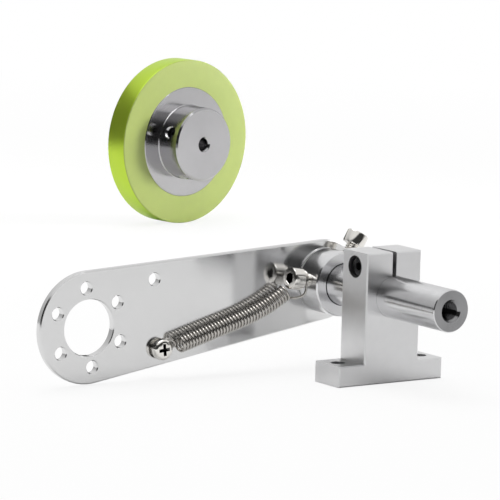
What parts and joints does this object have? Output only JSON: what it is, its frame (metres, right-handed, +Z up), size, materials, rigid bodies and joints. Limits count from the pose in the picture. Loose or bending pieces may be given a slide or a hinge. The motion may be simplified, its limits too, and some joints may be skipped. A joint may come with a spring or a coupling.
{
  "type": "sprung encoder arm with measuring wheel",
  "caption": "Sprung swing-arm encoder bracket: a clamp block grips a shaft on which a tapered plate pivots under a tension spring, with its loose measuring wheel.",
  "frame": {"origin": "middle of the support block's underside", "axes": "+X along the base, away from the arm; +Y along the pivot shaft, from its free end to the arm; +Z up"},
  "size_m": [0.3276, 0.4449, 0.0796],
  "materials": {
    "satin_aluminium": "satin",
    "polished_aluminium": "polished",
    "turned_aluminium": "turned bright",
    "ground_steel": "ground",
    "plated_steel": "zinc plated",
    "spring_steel": "drawn wire",
    "black_steel": "black oxide",
    "bush_bronze": "sintered",
    "white_plastic": "moulded",
    "green_polyurethane": "gloss"
  },
  "bodies": {
    "bracket": {"support_block": "satin_aluminium", "clamp_screw": "black_steel", "pivot_shaft": "ground_steel", "spring_collar": "turned_aluminium", "collar_screws": "plated_steel", "thrust_washer": "white_plastic", "rear_washer": "plated_steel", "rear_lock_washer": "plated_steel", "rear_screw": "plated_steel"},
    "arm": {"swing_arm": "polished_aluminium", "arm_bush": "bush_bronze", "anchor_screw": "plated_steel", "anchor_washer": "plated_steel", "anchor_nut": "plated_steel", "tension_spring": "spring_steel"},
    "wheel": {"wheel_hub": "turned_aluminium", "wheel_tyre": "green_polyurethane", "wheel_set_screws": "black_steel"}
  },
  "joints": [
    {"name": "arm_swing", "type": "hinge", "parent": "bracket", "child": "arm", "pos_m": [0, 0.0386, 0.033], "axis": [0, 1, 0], "range_deg": [-0.25, 45], "stiffness_Nm_per_rad": 0.2, "springref_deg": 6.3, "deforming": ["tension_spring"]},
    {"name": "wheel_spin", "type": "hinge", "parent": "bracket", "child": "wheel", "pos_m": [0.16, 0.389, 0.03979], "axis": [0.153, -0.9882, 0], "continuous": true}
  ]
}
